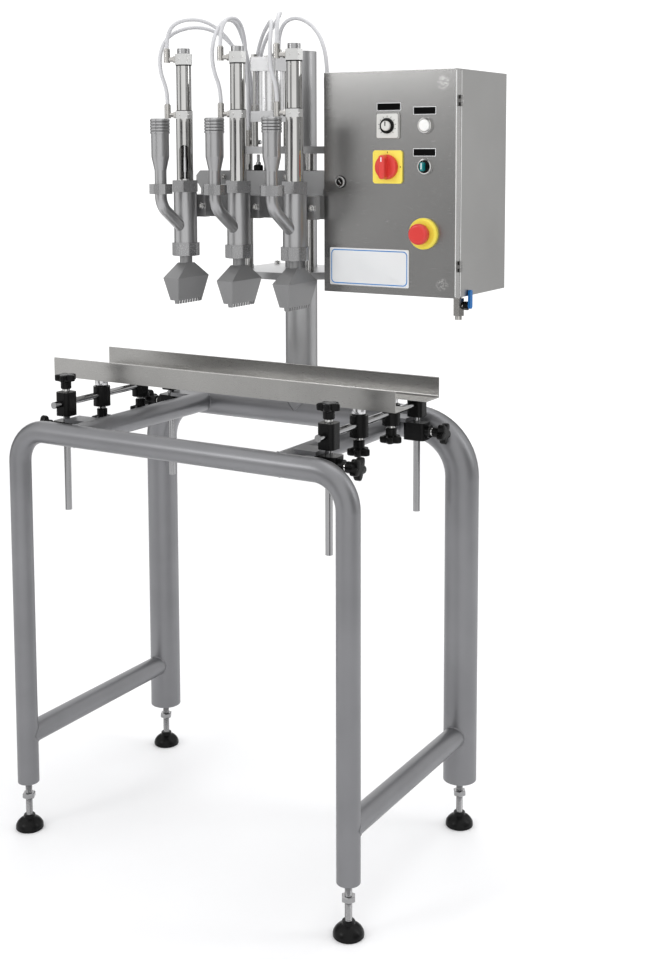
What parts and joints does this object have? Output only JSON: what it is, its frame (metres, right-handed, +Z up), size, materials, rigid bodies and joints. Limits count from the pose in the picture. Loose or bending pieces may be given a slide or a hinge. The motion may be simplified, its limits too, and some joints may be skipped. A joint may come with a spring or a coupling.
{
  "type": "cream filling machine",
  "caption": "Pneumatic cream filling machine: depositing heads with toothed nozzles on a lift, a control box on a post, and adjustable tray guides on a tube stand.",
  "frame": {"origin": "on the floor under the centre of the bounding box", "axes": "+Z up, X along the tray guides, -Y towards the operator"},
  "size_m": [0.891, 0.563, 1.7057],
  "materials": {
    "satin_steel": "bead blasted satin",
    "bright_steel": "polished",
    "bare_aluminium": "matt anodised",
    "brushed_sheet": "brushed",
    "dark_steel": "matt",
    "black_plastic": "matt moulded",
    "timer_face": "matt",
    "lamp_lens": "glossy",
    "yellow_plastic": "semi gloss",
    "red_plastic": "semi gloss",
    "green_plastic": "semi gloss",
    "plated_metal": "nickel plated",
    "blue_plastic": "semi gloss",
    "tube_plastic": "clear white",
    "panel_parts": "matt"
  },
  "bodies": {
    "stand": {"front_leg_frame": "satin_steel", "rear_leg_frame": "satin_steel", "cross_members": "satin_steel", "post": "satin_steel", "lift_plates": "satin_steel", "lift_rods": "bright_steel", "lift_cylinder_caps": "bare_aluminium", "lift_cylinder_barrel": "bright_steel", "frame_clamps": "black_plastic", "box_shell": "brushed_sheet", "box_internals": "panel_parts", "inlet_valve": "plated_metal", "air_manifolds": "bare_aluminium", "air_tubes": "tube_plastic"},
    "carriage": {"lift_piston_rod": "bright_steel", "carriage_plate": "dark_steel", "carriage_blocks": "dark_steel", "carriage_bushes": "bright_steel", "head_standoffs": "satin_steel", "valve_bodies": "satin_steel", "head_nuts": "satin_steel", "nozzles": "satin_steel", "hose_tails": "satin_steel", "slotted_sleeves": "bright_steel", "cylinder_barrels": "bright_steel", "cylinder_end_blocks": "bare_aluminium", "head_air_fittings": "plated_metal"},
    "plunger_1": {"plunger_1": "bright_steel"},
    "plunger_2": {"plunger_2": "bright_steel"},
    "plunger_3": {"plunger_3": "bright_steel"},
    "door": {"door": "brushed_sheet", "panel_housings": "black_plastic", "pilot_lamp": "lamp_lens", "yellow_plates": "yellow_plastic"},
    "timer_dial": {"timer_dial": "timer_face"},
    "switch_knob": {"switch_knob": "red_plastic"},
    "selector_knob": {"selector_knob": "green_plastic"},
    "estop_button": {"estop_button": "red_plastic"},
    "door_lock": {"door_lock": "plated_metal"},
    "valve_lever": {"valve_lever": "blue_plastic"},
    "guide_carrier": {"guide_support_rods": "bright_steel", "cross_clamps": "black_plastic"},
    "front_guide": {"front_guide": "brushed_sheet", "front_guide_clamps": "black_plastic"},
    "rear_guide": {"rear_guide": "brushed_sheet", "rear_guide_clamps": "black_plastic"},
    "foot_front_left": {"foot_front_left": "black_plastic"},
    "height_knob_front_left": {"height_knob_front_left": "black_plastic"},
    "width_knob_front_left": {"width_knob_front_left": "black_plastic"},
    "foot_front_right": {"foot_front_right": "black_plastic"},
    "height_knob_front_right": {"height_knob_front_right": "black_plastic"},
    "width_knob_front_right": {"width_knob_front_right": "black_plastic"},
    "foot_rear_left": {"foot_rear_left": "black_plastic"},
    "height_knob_rear_left": {"height_knob_rear_left": "black_plastic"},
    "width_knob_rear_left": {"width_knob_rear_left": "black_plastic"},
    "foot_rear_right": {"foot_rear_right": "black_plastic"},
    "height_knob_rear_right": {"height_knob_rear_right": "black_plastic"},
    "width_knob_rear_right": {"width_knob_rear_right": "black_plastic"},
    "cross_knob_front_left": {"cross_knob_front_left": "black_plastic"},
    "cross_knob_front_right": {"cross_knob_front_right": "black_plastic"}
  },
  "joints": [
    {"name": "lift", "type": "slide", "parent": "stand", "child": "carriage", "axis": [0, 0, 1], "range_m": [-0.05, 0], "deforming": ["air_tubes"]},
    {"name": "plunger_stroke_1", "type": "slide", "parent": "carriage", "child": "plunger_1", "axis": [0, 0, 1], "range_m": [0, 0.04]},
    {"name": "plunger_stroke_2", "type": "slide", "parent": "carriage", "child": "plunger_2", "axis": [0, 0, 1], "range_m": [0, 0.04]},
    {"name": "plunger_stroke_3", "type": "slide", "parent": "carriage", "child": "plunger_3", "axis": [0, 0, 1], "range_m": [0, 0.04]},
    {"name": "door_swing", "type": "hinge", "parent": "stand", "child": "door", "pos_m": [0.442, 0.0525, 1.35], "axis": [0, 0, 1], "range_deg": [0, 120]},
    {"name": "timer_turn", "type": "hinge", "parent": "door", "child": "timer_dial", "pos_m": [0.294, 0.036, 1.4755], "axis": [0, 1, 0], "range_deg": [-135, 135]},
    {"name": "main_switch_turn", "type": "hinge", "parent": "door", "child": "switch_knob", "pos_m": [0.294, 0.036, 1.3965], "axis": [0, 1, 0], "range_deg": [0, 90]},
    {"name": "selector_turn", "type": "hinge", "parent": "door", "child": "selector_knob", "pos_m": [0.374, 0.036, 1.3975], "axis": [0, 1, 0], "range_deg": [-45, 45]},
    {"name": "estop_press", "type": "slide", "parent": "door", "child": "estop_button", "axis": [0, 1, 0], "range_m": [0, 0.005], "stiffness_N_per_m": 3000},
    {"name": "lock_turn", "type": "hinge", "parent": "door", "child": "door_lock", "pos_m": [0.187, 0.036, 1.3665], "axis": [0, -1, 0], "range_deg": [0, 90]},
    {"name": "valve_turn", "type": "hinge", "parent": "stand", "child": "valve_lever", "pos_m": [0.4423, 0.096, 1.128], "axis": [1, 0, 0], "range_deg": [0, 90]},
    {"name": "foot_level_front_left", "type": "slide", "parent": "stand", "child": "foot_front_left", "axis": [0, 0, 1], "range_m": [-0.01, 0.01]},
    {"name": "foot_level_front_right", "type": "slide", "parent": "stand", "child": "foot_front_right", "axis": [0, 0, 1], "range_m": [-0.01, 0.01]},
    {"name": "foot_level_rear_left", "type": "slide", "parent": "stand", "child": "foot_rear_left", "axis": [0, 0, 1], "range_m": [-0.01, 0.01]},
    {"name": "foot_level_rear_right", "type": "slide", "parent": "stand", "child": "foot_rear_right", "axis": [0, 0, 1], "range_m": [-0.01, 0.01]},
    {"name": "guide_height", "type": "slide", "parent": "stand", "child": "guide_carrier", "axis": [0, 0, 1], "range_m": [0, 0.08]},
    {"name": "front_guide_width", "type": "slide", "parent": "guide_carrier", "child": "front_guide", "axis": [0, -1, 0], "range_m": [-0.03, 0.055]},
    {"name": "rear_guide_width", "type": "slide", "parent": "guide_carrier", "child": "rear_guide", "axis": [0, 1, 0], "range_m": [-0.03, 0.055]},
    {"name": "height_knob_turn_front_left", "type": "hinge", "parent": "stand", "child": "height_knob_front_left", "pos_m": [-0.3675, -0.1925, 0.85625], "axis": [-1, 0, 0], "range_deg": [0, 360]},
    {"name": "width_knob_turn_front_left", "type": "hinge", "parent": "front_guide", "child": "width_knob_front_left", "pos_m": [-0.3355, -0.0805, 0.888], "axis": [0, 0, -1], "range_deg": [0, 360]},
    {"name": "height_knob_turn_front_right", "type": "hinge", "parent": "stand", "child": "height_knob_front_right", "pos_m": [0.3265, -0.1925, 0.85625], "axis": [1, 0, 0], "range_deg": [0, 360]},
    {"name": "width_knob_turn_front_right", "type": "hinge", "parent": "front_guide", "child": "width_knob_front_right", "pos_m": [0.2945, -0.0805, 0.888], "axis": [0, 0, -1], "range_deg": [0, 360]},
    {"name": "height_knob_turn_rear_left", "type": "hinge", "parent": "stand", "child": "height_knob_rear_left", "pos_m": [-0.3675, 0.1615, 0.85625], "axis": [-1, 0, 0], "range_deg": [0, 360]},
    {"name": "width_knob_turn_rear_left", "type": "hinge", "parent": "rear_guide", "child": "width_knob_rear_left", "pos_m": [-0.3355, 0.0495, 0.888], "axis": [0, 0, -1], "range_deg": [0, 360]},
    {"name": "height_knob_turn_rear_right", "type": "hinge", "parent": "stand", "child": "height_knob_rear_right", "pos_m": [0.3265, 0.1615, 0.85625], "axis": [1, 0, 0], "range_deg": [0, 360]},
    {"name": "width_knob_turn_rear_right", "type": "hinge", "parent": "rear_guide", "child": "width_knob_rear_right", "pos_m": [0.2945, 0.0495, 0.888], "axis": [0, 0, -1], "range_deg": [0, 360]},
    {"name": "cross_knob_turn_front_left", "type": "hinge", "parent": "guide_carrier", "child": "cross_knob_front_left", "pos_m": [-0.3355, -0.1925, 0.935], "axis": [0, 0, 1], "range_deg": [0, 360]},
    {"name": "cross_knob_turn_front_right", "type": "hinge", "parent": "guide_carrier", "child": "cross_knob_front_right", "pos_m": [0.2945, -0.1925, 0.935], "axis": [0, 0, 1], "range_deg": [0, 360]}
  ],
  "couplings": [
    {"joint": "plunger_stroke_2", "follows": "plunger_stroke_1", "ratio": 1},
    {"joint": "plunger_stroke_3", "follows": "plunger_stroke_1", "ratio": 1}
  ]
}
